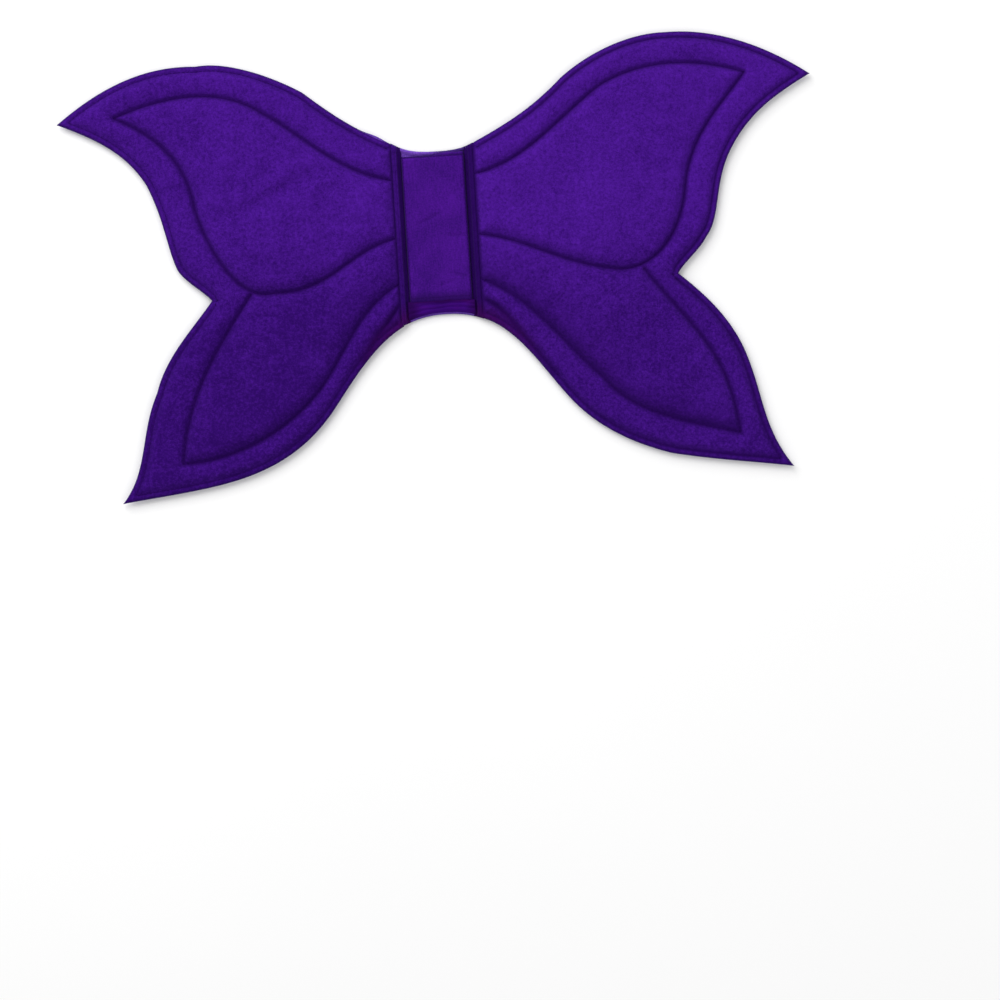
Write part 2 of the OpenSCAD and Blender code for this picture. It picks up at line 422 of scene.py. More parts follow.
SETTLE = {"quality": 5, "mass": 0.2, "tension_stiffness": 20, "compression_stiffness": 20,
          "shear_stiffness": 8, "bending_stiffness": 3, "air_damping": 2, "use_pressure": True,
          "uniform_pressure_force": 4, "shrink_min": -0.015, "vertex_group_mass": "held"}
SETTLE_CAP = 1.2 * MM
settled = {}


def smooth_share(value, low, high):
    """0 below low, 1 above high, and a smooth step between"""
    share = np.clip((value - low) / (high - low), 0, 1)
    return share * share * (3 - 2 * share)


def lift(pattern, points, puff, reach, edge_bulge):
    """Height of padded cloth above the seam plane, from its distances to the rows of stitches"""
    edge = pattern.edge(points)
    seam = pattern.stitched(points)
    band = np.maximum(points[:, 0] - pattern.seam_x, 0)
    cell = inside(pattern.cells[0], points) | inside(pattern.cells[1], points)
    top = np.where(cell, puff["cell"], puff["border"])
    spread = np.where(cell, reach["cell"], reach["border"])
    near = np.minimum(seam, band + 0.2 * MM)
    padded = top * (1 - np.exp(-near / spread))
    share = np.clip(edge / EDGE_SEAM, 0, 1)
    rolled = edge_bulge * np.sqrt(np.clip(1 - (2 * share - 1) ** 2, 0, 1))
    return np.where(edge < EDGE_SEAM, rolled, padded), share


def ripple(points, size, seed):
    """Soft unevenness, the same at every run"""
    return np.array([noise.noise(Vector((x / size, y / size, seed))) for x, y in points])


def settled_lift(pattern, points):
    """How much higher or lower the cloth simulation left each point, between its four nearest"""
    if pattern.side not in settled:
        return 0 * points[:, 0]
    tree, moved = settled[pattern.side]
    lift_at = []
    for x, y in points:
        near = [(moved[k], 1 / (apart + 0.2 * MM)) for _, k, apart in tree.find_n((x, y, 0), 4)]
        lift_at.append(sum(m * w for m, w in near) / sum(w for _, w in near))
    return np.array(lift_at)


def settle(pattern):
    """Blow the front up as cloth held at every row of stitches, and keep how far it moved"""
    points, faces = pattern.flat_mesh(*SETTLE_MESH)
    heights = wing_height(pattern, points)
    trial = cloth_piece("settling_cloth", pattern, points, faces, heights, None, True)
    held = ((pattern.edge(points) < 1.1 * EDGE_SEAM) | (pattern.stitched(points) < 0.7 * MM)
            | (points[:, 0] < pattern.seam_x + 1.5 * MM))
    trial.vertex_groups.new(name="held").add([int(k) for k in np.nonzero(held)[0]], 1.0, "REPLACE")
    cloth = trial.modifiers.new("cloth", "CLOTH")
    cloth.collision_settings.use_collision = False
    for setting, value in SETTLE.items():
        setattr(cloth.settings, setting, value)
    cloth.settings.effector_weights.gravity = 0
    for step in range(SETTLE_FRAMES):
        bpy.context.scene.frame_set(step + 1)
    loose = trial.evaluated_get(bpy.context.evaluated_depsgraph_get()).to_mesh()
    moved = np.array([vert.co.z for vert in loose.vertices]) - heights
    bpy.context.scene.frame_set(1)
    bpy.data.objects.remove(trial)
    return Near(points).tree, np.where(held, 0, SETTLE_CAP * np.tanh(moved / SETTLE_CAP))


def wing_height(pattern, points):
    """Height of the front: padding, soft waves, dents, the neck fold, and the slope to the band"""
    raised, share = lift(pattern, points, FRONT_PUFF, FRONT_REACH, 1.0 * MM)
    level = MID_Z + (STITCHED_Z - MID_Z) * share
    world_x = points * np.array([pattern.sign, 1])
    raised = raised + settled_lift(pattern, points)
    body = smooth_share(raised, 1 * MM, 4 * MM)
    waves = 0.35 * MM * ripple(world_x, 34 * MM, 1.0) + 0.16 * MM * ripple(world_x, 11 * MM, 5.0)
    for (x, y), long, wide, angle, depth in DENTS[pattern.side]:
        lean = math.radians(angle)
        away = points - np.array([x, y]) * MM
        along = (away[:, 0] * math.cos(lean) + away[:, 1] * math.sin(lean)) / (long * MM)
        across = (away[:, 1] * math.cos(lean) - away[:, 0] * math.sin(lean)) / (wide * MM)
        waves -= depth * MM * np.exp(-along ** 2 - across ** 2)
    waves -= FOLD_DEPTH * np.exp(-(pattern.folded(points) / FOLD_WIDTH) ** 2)
    to_band = 1 - smooth_share(points[:, 0] - pattern.seam_x, 0, BAND_SLOPE)
    level = level + (BAND_TOP - 1.6 * MM - level) * to_band * smooth_share(pattern.edge(points), 0, 2 * MM)
    return level + raised + body * waves


def cloth_piece(name, pattern, points, faces, heights, material, faces_up):
    """A sheet of cloth on the wing's own side, made from its pattern's points"""
    bm = bmesh.new()
    verts = [bm.verts.new((pattern.sign * x, y, z)) for (x, y), z in zip(points, heights)]
    for face in faces:
        bm.faces.new([verts[k] for k in face])
    bmesh.ops.recalc_face_normals(bm, faces=bm.faces)
    bm.normal_update()
    if (sum(f.normal.z for f in bm.faces) > 0) != faces_up:
        bmesh.ops.reverse_faces(bm, faces=bm.faces)
    return new_piece(name, bm, material)


def mark_points(piece, shares, name="pressed_and_shaded"):
    """Keep a share at each point for the material: how hard it is pressed and how much painted
    shade it gets, or how reddened
    """
    layer = piece.data.attributes.new(name, "FLOAT", "POINT")
    layer.data.foreach_set("value", shares)


def spots_of(piece):
    """Where the piece's points are, one row each"""
    return np.array([vert.co for vert in piece.data.vertices])


def pressed_and_shaded_shares(pattern, points):
    """1 under the quilting rows, in the neck fold and along the band, less along the edge row, on
    the turned edge and over the lower cell near its lower quilting row: painted shade, with
    crushed felt under the rows"""
    quilting = np.minimum(pattern.quilted(points), np.maximum(points[:, 0] - pattern.seam_x, 0))
    # painted shade along the edge row, full on the right wing and fading to half towards the left wing's tips
    shade = EDGE_SHADE + EDGE_SHADE * smooth_share(pattern.sign * points[:, 0], -180 * MM, 0)
    # painted shade over the lower cell, fading away from its lower quilting row
    lower_cell_shade = LOWER_CELL_SHADE[pattern.side] * np.exp(-pattern.lower_row(points) / LOWER_CELL_SHADE_REACH)
    lower_cell_shade = np.where(inside(pattern.cells[1], points), lower_cell_shade, 0)
    quilting = np.minimum(quilting, FOLD_SPREAD * pattern.folded(points))
    # painted shade in the valleys, along the edge row and at the rim, with crushed felt under the rows
    return np.maximum.reduce([np.exp(-(quilting / PRESS_REACH) ** 2),
                              shade * np.exp(-(pattern.edge_row(points) / PRESS_REACH) ** 2),
                              RIM_SHADE * np.exp(-(pattern.edge(points) / PRESS_REACH) ** 2), lower_cell_shade])


def seam_span(side):
    """Two points at the band's top, 1 mm on the band's side of the seam with a wing and 5 mm on
    the wing's side
    """
    sign, seam_x = SIDES[side], SEAM_X[side]
    return (sign * (seam_x - 1 * MM), 0, BAND_TOP), (sign * (seam_x + 5 * MM), 0, BAND_TOP)


def thicken(piece, thickness):
    """Give a sheet its thickness, under its face"""
    wall = piece.modifiers.new("thickness", "SOLIDIFY")
    wall.thickness = thickness
    wall.offset = -1
    wall.use_even_offset = True


TRACK_SCALE = 2 * math.pi / (20 * 4.15 * MM)


def felt_finish(name, low, high, crushed_and_shaded):
    """Needled felt: tangled fibres, soft mottling, faint needle tracks, painted shade low down and
    to the left, dark where marked as crushed felt with painted shade, and tinged with red where
    the dye has caught"""
    felt = Finish(name, Roughness=0.95, Specular_IOR_Level=0.04, Sheen_Weight=0.06, Sheen_Roughness=0.5,
                  Sheen_Tint=(0.45, 0.25, 0.95, 1))
    spot = felt.place()
    fibre = felt.noise(spot, 1500, 4.0, 0.7)
    tangle = felt.noise(spot, 520, 3.0, 0.6)
    mottle = felt.noise(spot, 150, 3.0, 0.55)
    cloud = felt.noise(spot, 32, 2.0)
    track = felt.bands("X", {"Vector": spot, "Scale": TRACK_SCALE, "Distortion": 1.2, "Detail": 2.0,
                             "Detail Scale": 2.0})
    share = fibre * 1.45 + tangle * 1.15 + mottle * 0.42 + cloud * 0.35 + track * 0.03 - 1.2
    # painted shade: the felt is darker low down and, a little, to the left
    shade = felt.fading("Y", -0.07, 0.02, 0.25)
    tone_shift = felt.fading("X", -0.10, 0.03, 0.10)
    # painted shade, with some crushed felt, where the pieces are marked
    pressed_and_shaded = felt.marked("pressed_and_shaded")
    colour = felt.between(share - shade - tone_shift, low, high)
    colour = felt.between(pressed_and_shaded * 0.8 + fibre * pressed_and_shaded * 0.2, colour, crushed_and_shaded)
    colour = felt.between(felt.marked("reddened") * (mottle + 0.2), colour, (0.042, 0.0006, 0.060))
    height = fibre * 0.55 + tangle * 0.8 + mottle * 0.5
    return felt.join(colour, height, 0.0006)


felt_material = felt_finish("wing_felt", (0.023, 0.0015, 0.110), (0.084, 0.0105, 0.335),
                            crushed_and_shaded=(0.014, 0.0005, 0.066))
fronts = {}
for side, pattern in patterns.items():
    settled[side] = settle(pattern)
    points, faces = pattern.flat_mesh(*FRONT_MESH)
    heights = wing_height(pattern, points)
    front = cloth_piece(side + "_front_felt", pattern, points, faces, heights, felt_material, True)
    # painted shade, with crushed felt under the rows
    mark_points(front, pressed_and_shaded_shares(pattern, points))
    at_neck = (1 - smooth_share(points[:, 0], *RED_OUT)) * smooth_share(-points[:, 1], *RED_DOWN)
    mark_points(front, REDDEST * at_neck * np.exp(-(pattern.edge(points) / RED_REACH) ** 2), "reddened")
    fronts[side] = front
    thicken(front, FELT_THICK)
    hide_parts(side + "_wing_front")
    start, end = seam_span(side)
    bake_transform(front)

# --------------------------------------------------
# Wing backs. Smooth lining cloth, joined to the felt along the turned edge and caught by the
# same rows of stitches, so it swells a little towards the table between them. The left one
# peeks out above the felt beside the band.
BACK_PUFF = {"cell": 1.5 * MM, "border": 0.9 * MM}
BACK_REACH = {"cell": 6 * MM, "border": 4 * MM}
LINING_THICK = 0.6 * MM
LINING_PEEK = 1.1 * MM
PEEK_START = (28 * MM, 38 * MM)
PEEK_END = (38 * MM, 49 * MM)
PEEK_REACH = 2.5 * MM
BACK_MESH = (3.2 * MM, [0.3 * MM, 1.0 * MM, 2.2 * MM, 3.8 * MM], [1.6 * MM])


def cloth_finish(name, low, high, crushed_and_shaded, thread_pitch):
    """Smooth plain weave: two sets of threads, slubs, and painted shade where the piece is marked at
    its seams, edges, folds and creases
    """
    cloth = Finish(name, Roughness=0.7, Specular_IOR_Level=0.05, Sheen_Weight=0.02, Sheen_Roughness=0.4)
    spot = cloth.place()
    threads = 2 * math.pi / (20 * thread_pitch)
    warp, weft = (cloth.bands(axis, {"Vector": spot, "Scale": threads, "Distortion": 0.6, "Detail": 1.0})
                  for axis in "XY")
    slub = cloth.noise(cloth.place((1, 0.12, 1)), 1100, 2.0)
    fleck = cloth.noise(spot, 900, 3.0, 0.6)
    cloud = cloth.noise(spot, 55, 3.0)
    share = warp * 0.15 + weft * 0.15 + slub * 0.8 + fleck * 1.5 + cloud * 1.2 - 1.4
    # painted shade where the piece is marked
    colour = cloth.between(cloth.marked("pressed_and_shaded"), cloth.between(share, low, high), crushed_and_shaded)
    return cloth.join(colour, warp * weft + slub * 0.6, 0.00012)


lining_material = cloth_finish("lining_cloth", (0.09, 0.028, 0.33), (0.23, 0.09, 0.60),
                               crushed_and_shaded=(0.028, 0.008, 0.11), thread_pitch=0.45 * MM)
backs = {}
for side, pattern in patterns.items():
    points, faces = pattern.flat_mesh(*BACK_MESH)
    raised, share = lift(pattern, points, BACK_PUFF, BACK_REACH, 0.5 * MM)
    # painted shade where the lining turns under at the edge, less where it peeks out
    turned_edge_shade = 0.9 * np.exp(-(pattern.edge(points) / (1.6 * MM)) ** 2)
    to_band = 1 - smooth_share(points[:, 0] - pattern.seam_x, 0, BAND_SLOPE)
    heights = MID_Z - 0.5 * MM * share - raised - 0.3 * MM * to_band
    if side == "left":
        peek = (1 - smooth_share(points[:, 0], *PEEK_END)) * smooth_share(points[:, 0], *PEEK_START)
        peek = np.where(points[:, 1] > 0, peek, 0)
        rim = np.clip(1 - pattern.edge(points) / PEEK_REACH, 0, 1) * peek
        points = points + np.outer(rim, [0, LINING_PEEK])
        heights = heights + 0.6 * MM * rim
        turned_edge_shade = turned_edge_shade * (1 - 0.8 * peek)
    back = cloth_piece(side + "_back_lining", pattern, points, faces, heights, lining_material, False)
    mark_points(back, turned_edge_shade)
    thicken(back, LINING_THICK)
    backs[side] = back
    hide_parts(side + "_wing_back")
    start, end = seam_span(side)
    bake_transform(back)

# --------------------------------------------------
# Wadding. A loose pad of white polyester fibre sealed inside each wing, thin along the rows of
# stitches and full between them.
WADDING_EDGE = 5.2 * MM
WADDING_AT_BAND = 6.5 * MM
WADDING_FLOOR = MID_Z + 0.1 * MM
WADDING_MESH = (4.5 * MM, [1.9 * MM, WADDING_EDGE, 8 * MM], [2.0 * MM])
wadding = Finish("wadding_fibre", Roughness=1.0, Specular_IOR_Level=0.1, Sheen_Weight=0.4)
strands = wadding.noise(wadding.place((1, 0.3, 1)), 700, 5.0, 0.7)
tufts = wadding.noise(wadding.place(), 130, 3.0)
wadding_material = wadding.join(
    wadding.between(strands * 0.6 + tufts * 0.4, (0.70, 0.69, 0.74), (0.95, 0.95, 0.97)),
    strands + tufts, 0.001)


def only(geometry, kind):
    """The parts of one kind, such as the vertices, of what an operation made"""
    return [part for part in geometry if isinstance(part, kind)]


def close_below(bm, faces, floor_z):
    """Close a sheet into a pad with a flat underside"""
    under = bmesh.ops.extrude_face_region(bm, geom=faces)
    for vert in only(under["geom"], bmesh.types.BMVert):
        vert.co.z = floor_z
    bmesh.ops.recalc_face_normals(bm, faces=bm.faces)


for side, pattern in patterns.items():
    points, faces = pattern.flat_mesh(*WADDING_MESH)
    keep = (pattern.edge(points) > WADDING_EDGE * 0.97) & (points[:, 0] > pattern.seam_x + WADDING_AT_BAND)
    heights = np.maximum(wing_height(pattern, points) - FELT_THICK - 0.5 * MM, WADDING_FLOOR + 0.3 * MM)
    bm = bmesh.new()
    verts = [bm.verts.new((pattern.sign * x, y, z)) for (x, y), z in zip(points, heights)]
    top = [bm.faces.new([verts[k] for k in face]) for face in faces if all(keep[k] for k in face)]
    bmesh.ops.delete(bm, geom=[v for v in bm.verts if not v.link_faces], context="VERTS")
    close_below(bm, top, WADDING_FLOOR)
    pad = new_piece(side + "_wadding_pad", bm, wadding_material)
    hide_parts(side + "_wing_wadding")
    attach(pad, side + "_wing")

# --------------------------------------------------
# Rows of stitches. Dark polyester thread: one row along the edge of each wing and one along
# each quilting line. The bobbin thread shows on the back in the same places.
STITCH_PITCH = 2.8 * MM
STITCH_LENGTH = 2.3 * MM
THREAD_R = 0.36 * MM
THREAD_SINK = 0.3
STITCH_LEAN = 0.16
thread = Finish("sewing_thread", Roughness=0.8, Specular_IOR_Level=0.04)
ply = thread.noise(thread.place(), 2600, 2.0)
thread_material = thread.join(
    thread.between(ply, (0.012, 0.0006, 0.055), (0.034, 0.003, 0.135)), ply, 0.00015)


def surface_of(piece):
    """The piece's bare surface, for rays"""
    bm = bmesh.new()
    bm.from_mesh(piece.data)
    tree = BVHTree.FromBMesh(bm)
    bm.free()
    return tree


one_stitch = bpy.data.meshes.new("one_stitch")
bm = bmesh.new()
bmesh.ops.create_uvsphere(bm, u_segments=6, v_segments=4, radius=1)
bm.to_mesh(one_stitch)
bm.free()


def lay_stitch(bm, spot, along, outward, radius, length):
    """One stitch, lying along a direction on a surface that faces outward"""
    turn = Matrix((along.cross(outward), outward, along)).transposed().to_4x4()
    copy = one_stitch.copy()
    copy.transform(Matrix.Translation(spot) @ turn @ Matrix.Diagonal((radius, radius, length / 2, 1)))
    bm.from_mesh(copy)
    bpy.data.meshes.remove(copy)


def sew(bm, path, surface, down, radius=THREAD_R, length=STITCH_LENGTH):
    """Stitches along a path, laid on the surface met by a ray from above or below"""
    way = Vector((0, 0, -1 if down else 1))
    for k, (a, b) in enumerate(zip(path[:-1], path[1:])):
        middle = Vector(((a[0] + b[0]) / 2, (a[1] + b[1]) / 2, -0.02 * way.z))
        spot, normal, _, _ = surface.ray_cast(middle, way)
        if spot is None:
            continue
        along = Vector((b[0] - a[0], b[1] - a[1], 0)).normalized()
        along.rotate(Matrix.Rotation(STITCH_LEAN * (-1) ** k, 3, "Z"))
        along = (along - normal * along.dot(normal)).normalized()
        outward = normal if normal.dot(way) < 0 else -normal
        lay_stitch(bm, spot + outward * radius * THREAD_SINK, along, outward, radius, length)


for side, pattern in patterns.items():
    seam_rows = {"edge_stitching": [pattern.edge_seam], "quilting": pattern.seams}
    front_surface, back_surface = surface_of(fronts[side]), surface_of(backs[side])
    for name, rows in seam_rows.items():
        bm = bmesh.new()
        for row in rows:
            path = even_points(row, STITCH_PITCH) * np.array([pattern.sign, 1])
            path = path[np.abs(path[:, 0]) > pattern.seam_x + 0.5 * MM]
            sew(bm, path, front_surface, True)
            sew(bm, path, back_surface, False)
        row_piece = new_piece(side + "_" + name + "_rows", bm, thread_material)
        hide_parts(side + "_" + name)
        start, end = seam_span(side)
        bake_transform(row_piece)

# --------------------------------------------------
# Seam rolls. The felt is folded into a narrow raised strip where each wing is sewn to the
# band. Its back is flat and holds the ends of a strap. Its lower end is tinged with red.
ROLL_STEPS = 110
ROLL_PROFILE = [(0.3, 1.4), (0.25, 3.2), (0.05, 4.6), (-0.5, 5.35), (-1.25, 5.6), (-1.9, 5.4), (-2.15, 5.05),
                (-2.4, 5.3), (-2.9, 5.25), (-3.3, 4.8), (-3.5, 4.1), (-3.7, 3.3), (-4.3, 2.9), (-5.9, 2.6),
                (-6.2, 1.8), (-5.8, 1.25), (-4.4, 1.2), (-2.6, 1.2), (-1.0, 1.2), (0.1, 1.2)]
ROLL_HEIGHT = {"left": 1.0, "right": 0.8}
ROLL_BACK = 1.2
ROLL_SHADE = {"left": 0.55, "right": 0.95}
ROLL_FOOT = (2.4 * MM, 4.2 * MM)
ROLL_RED = (-59 * MM, -44 * MM)
NECK = {"top": [(0, 51), (12, 51), (18, 52), (26, 56), (30, 58.2), (34, 60.3), (38, 62.5)],
        "bottom": [(0, -55), (12, -55), (18, -57), (26, -60), (30, -61.6), (34, -64), (38, -66.5)]}
neck_lines = {end: curve_points(line, MM) for end, line in NECK.items()}


def neck_y(x, end):
    """Where the outline crosses the neck at x"""
    return float(np.interp(abs(x), neck_lines[end][:, 0], neck_lines[end][:, 1]))


def swept_strip(count, steps, shape):
    """A closed strip of count points round and steps along, each point placed by shape(k, share)"""
    bm = bmesh.new()
    bmesh.ops.create_cone(bm, cap_ends=True, segments=count, radius1=1, radius2=1, depth=1)
    lengthways = [e for e in bm.edges if abs(e.verts[0].co.z - e.verts[1].co.z) > 0.5]
    bmesh.ops.subdivide_edges(bm, edges=lengthways, cuts=steps - 1, use_grid_fill=True)
    for vert in bm.verts:
        turn = math.atan2(vert.co.y, vert.co.x) / (2 * math.pi) * count - count / 4
        vert.co = shape(round(turn) % count, vert.co.z + 0.5)
    bmesh.ops.recalc_face_normals(bm, faces=bm.faces)
    return bm


def roll_point(side, k, share):
    """A point of the folded felt: profile point k, at a share of the way up the seam"""
    sign, (across, high) = SIDES[side], ROLL_PROFILE[k]
    x = sign * (SEAM_X[side] + across * MM)
    y = neck_y(x, "bottom") + (neck_y(x, "top") - neck_y(x, "bottom")) * share
    pinch = 0.6 + 0.4 * min(1, min(share, 1 - share) * ROLL_STEPS / 2) ** 0.5
    fold = noise.noise(Vector((across * 0.6, y / (7 * MM), sign * 7)))
    top = ROLL_BACK + (high - ROLL_BACK) * pinch * ROLL_HEIGHT[side]
    return Vector((x + sign * 0.12 * MM * fold, y, (top + (0.3 * fold if high > 3 else 0)) * MM))


for side in SIDES:
    bm = swept_strip(len(ROLL_PROFILE), ROLL_STEPS, lambda k, share: roll_point(side, k, share))
    roll = new_piece(side + "_felt_roll", bm, felt_material)
    spots = spots_of(roll)
    # painted shade: the roll's sides and foot dark, its top less so, the right roll darker than the left
    mark_points(roll, 1 - (1 - ROLL_SHADE[side]) * smooth_share(spots[:, 2], *ROLL_FOOT))
    low_end = 1 - smooth_share(spots[:, 1], *ROLL_RED)
    mark_points(roll, REDDEST * low_end, "reddened")
    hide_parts(side + "_seam_roll")
    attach(roll, "centre_band")

# --------------------------------------------------
# Front panel. Smooth plain-weave cotton stretched over a firm pad, its edges turned in and
# sewn down. It shows a few soft creases where it has been handled.
PANEL_LOW, PANEL_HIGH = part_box("centre_front_panel")
PANEL_STEP = 0.8 * MM
PANEL_THICK = 0.7 * MM
PANEL_CROWN = 0.5 * MM
PANEL_SHOULDER = 2.6 * MM
PANEL_LIFT = 1.7 * MM
PANEL_DROP = {"side": 2.3 * MM, "top": 2.6 * MM, "bottom": 0.9 * MM}
SEAM_INSET = 0.6 * MM
CREASE_SHADE = 0.3
CREASES = [((-16, 3), (1, 11), 0.6, 1.1), ((3, -4), (18, -5), 0.6, 1.0), ((4, -28), (16, -32), 0.55, 1.3),
           ((-4, -37), (9, -33), 0.45, 1.4), ((-8, 38), (0, 41), 0.15, 1.5),
           ((-22, -20), (-12, -14), 0.16, 1.4), ((8, 22), (17, 27), 0.14, 1.3)]


def shoulder(distance, drop):
    """How far the cloth has dropped at a distance from a turned-in edge"""
    share = min(1, max(0, distance / PANEL_SHOULDER))
    return drop * (1 - math.sqrt(1 - (1 - share) ** 2))


def crease_depth(x, y):
    """The dip of the soft creases at a point"""
    dip = 0
    for (x0, y0), (x1, y1), depth, width in CREASES:
        a, b, spot = Vector((x0, y0)) * MM, Vector((x1, y1)) * MM, Vector((x, y))
        share = min(1, max(0, (spot - a).dot(b - a) / (b - a).length_squared))
        apart = (spot - (a + (b - a) * share)).length / (width * MM)
        fade = min(1, 4 * min(share, 1 - share) + 0.25)
        dip += depth * MM * fade * math.exp(-apart * apart)
    return dip


def panel_top(x):
    """The panel's upper edge, which is turned in less to the right"""
    return PANEL_HIGH.y + PANEL_LIFT * float(smooth_share(x, -7 * MM, 8 * MM))


def panel_height(x, y):
    """Height of the stretched cloth over its pad"""
    across = (x - PANEL_LOW.x) / (PANEL_HIGH.x - PANEL_LOW.x) * 2 - 1
    up = (y - PANEL_LOW.y) / (PANEL_HIGH.y - PANEL_LOW.y) * 2 - 1
    crown = PANEL_CROWN * (1 - across ** 2) * (1 - up ** 4)
    fall = (shoulder(min(x - PANEL_LOW.x, PANEL_HIGH.x - x), PANEL_DROP["side"])
            + shoulder(panel_top(x) - y, PANEL_DROP["top"]) + shoulder(y - PANEL_LOW.y, PANEL_DROP["bottom"]))
    wave = 0.2 * MM * noise.noise(Vector((x / (16 * MM), y / (16 * MM), 2)))
    seam = 0.5 * MM * math.exp(-((y - PANEL_HIGH.y + SEAM_INSET) / (0.8 * MM)) ** 2)
    return max(PANEL_HIGH.z - 0.15 * MM + crown + wave - crease_depth(x, y) - fall - seam, 1.5 * MM)


def grid_sheet(x_range, y_ends, step, height):
    """A sheet of even squares between two sides and two ends, lifted to height(x, y)"""
    bm = bmesh.new()
    low, high = x_range
    length = y_ends(0, 1) - y_ends(0, 0)
    bmesh.ops.create_grid(bm, x_segments=round((high - low) / step), y_segments=round(length / step),
                          size=0.5)
    for vert in bm.verts:
        x = low + (high - low) * (vert.co.x + 0.5)
        y = y_ends(x, 0) + (y_ends(x, 1) - y_ends(x, 0)) * (vert.co.y + 0.5)
        vert.co = (x, y, height(x, y))
    return bm


panel_material = cloth_finish("panel_cloth", (0.026, 0.0015, 0.125), (0.070, 0.005, 0.265),
                              crushed_and_shaded=(0.014, 0.0006, 0.066), thread_pitch=0.5 * MM)
bm = grid_sheet((PANEL_LOW.x, PANEL_HIGH.x), lambda x, end: (PANEL_LOW.y, panel_top(x))[end], PANEL_STEP,
                panel_height)
panel = new_piece("front_panel_cloth", bm, panel_material)
spots = spots_of(panel)
# painted shade along the top seam, at the hem, along the sides and in the creases
seam_shade = 0.85 * np.exp(-((spots[:, 1] - PANEL_HIGH.y + SEAM_INSET) / (0.7 * MM)) ** 2)
hem_shade = 0.75 * (1 - smooth_share(spots[:, 1] - PANEL_LOW.y, 1.5 * MM, 9 * MM))
inset = np.minimum(spots[:, 0] - PANEL_LOW.x, PANEL_HIGH.x - spots[:, 0])
side_shade = 0.7 * np.exp(-(inset / (1.0 * MM)) ** 2)
crease_shade = np.array([CREASE_SHADE * crease_depth(x, y) / MM for x, y, _ in spots])
mark_points(panel, np.maximum.reduce([seam_shade, hem_shade, side_shade, crease_shade]))
thicken(panel, PANEL_THICK)
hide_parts("centre_front_panel")
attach(panel, "centre_band")

# --------------------------------------------------
# Interlining. The firm pad of pressed fibre under the front panel, sealed between the panel
# and the lining.
PAD_STEP = 2 * MM
PAD_INSET = 1.3 * MM
PAD_FLOOR = 1.25 * MM
bm = grid_sheet((PANEL_LOW.x + PAD_INSET, PANEL_HIGH.x - PAD_INSET),
                lambda x, end: (PANEL_LOW.y + PAD_INSET, PANEL_HIGH.y - PAD_INSET)[end], PAD_STEP,
                lambda x, y: max(panel_height(x, y) - PANEL_THICK - 0.25 * MM, PAD_FLOOR + 0.2 * MM))
close_below(bm, bm.faces[:], PAD_FLOOR)
interlining = new_piece("interlining_pad", bm, wadding_material)
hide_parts("centre_interlining")
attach(interlining, "centre_band")

# --------------------------------------------------
# Bottom hem. The lower edge of the band, rolled over twice and pressed into folds. It is the
# same cotton, with painted shade along its upper lip and towards its ends, and tinged with red
# in streaks.
HEM_STEPS = 60
HEM_LEFT = PANEL_LOW.x - 1.2 * MM
HEM_RIGHT = PANEL_HIGH.x + 1.2 * MM
HEM_TOP = PANEL_LOW.y + 2.0 * MM
HEM_REVEAL = 1.0 * MM
HEM_PROFILE = [(0.0, 4.0), (0.06, 4.7), (0.14, 5.2), (0.22, 5.3), (0.30, 5.0), (0.35, 4.8), (0.40, 4.95),
               (0.49, 5.1), (0.57, 4.75), (0.62, 4.3), (0.67, 4.55), (0.75, 4.6), (0.86, 4.2), (0.95, 3.4),
               (1.0, 2.5), (0.97, 1.7), (0.86, 1.25), (0.5, 1.2), (0.1, 1.3), (0.0, 3.0)]


def hem_point(k, share):
    """A point of the rolled hem; its folds climb to the middle and run down to the right"""
    down, high = HEM_PROFILE[k]
    x = HEM_LEFT + (HEM_RIGHT - HEM_LEFT) * share
    bow = 1.5 * MM * (share - 0.4) ** 2 / 0.36 + 0.5 * MM * noise.noise(Vector((x / (5 * MM), 0, 9)))
    top, bottom = HEM_TOP - bow, neck_y(x, "bottom") + HEM_REVEAL
    slip = 0.05 * math.sin(math.pi * down) * math.sin(5.0 * share + 0.6)
    fold = noise.noise(Vector((x / (6 * MM), down * 2.2, 3)))
    y = top + (bottom - top) * (down + slip)
    return Vector((x, y, (high + (0.25 * fold if high > 2 else 0)) * MM))


hem_cloth = Finish("hem_cloth", Roughness=0.8, Specular_IOR_Level=0.03)
streak = hem_cloth.noise(hem_cloth.place((0.10, 1, 1), 0.16), 700, 3.0, 0.6)
patch = hem_cloth.noise(hem_cloth.place((0.5, 1, 1)), 120, 2.0)
weave = hem_cloth.noise(hem_cloth.place(), 1800, 2.0)
hem_colour = hem_cloth.between(streak * 0.5 + patch * 1.1 + weave * 0.4 - 0.5, (0.014, 0.0005, 0.066),
                               (0.056, 0.003, 0.225))
red = hem_cloth.node("ShaderNodeMapRange", {}, {"Value": streak * 0.45 + patch * 0.55, "From Min": 0.52,
                                                "From Max": 0.72, "To Min": 0.0, "To Max": 0.55})
hem_colour = hem_cloth.between(red, hem_colour, (0.050, 0.0003, 0.060))
# painted shade where marked: the lip under the panel and the ends
hem_colour = hem_cloth.between(hem_cloth.marked("pressed_and_shaded"), hem_colour, (0.014, 0.0002, 0.036))
hem_material = hem_cloth.join(hem_colour, streak + weave * 0.5, 0.0004)
hem = new_piece("rolled_hem", swept_strip(len(HEM_PROFILE), HEM_STEPS, hem_point), hem_material)
spots = spots_of(hem)
# painted shade along the upper lip and towards both ends
lip_shade = smooth_share(spots[:, 1], PANEL_LOW.y - 2.2 * MM, PANEL_LOW.y + 1.2 * MM)
hem_end_shade = smooth_share(np.abs(spots[:, 0] + 1 * MM), 13 * MM, 21 * MM)
mark_points(hem, np.maximum(0.85 * lip_shade, 0.7 * hem_end_shade))
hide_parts("bottom_hem")
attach(hem, "centre_band")

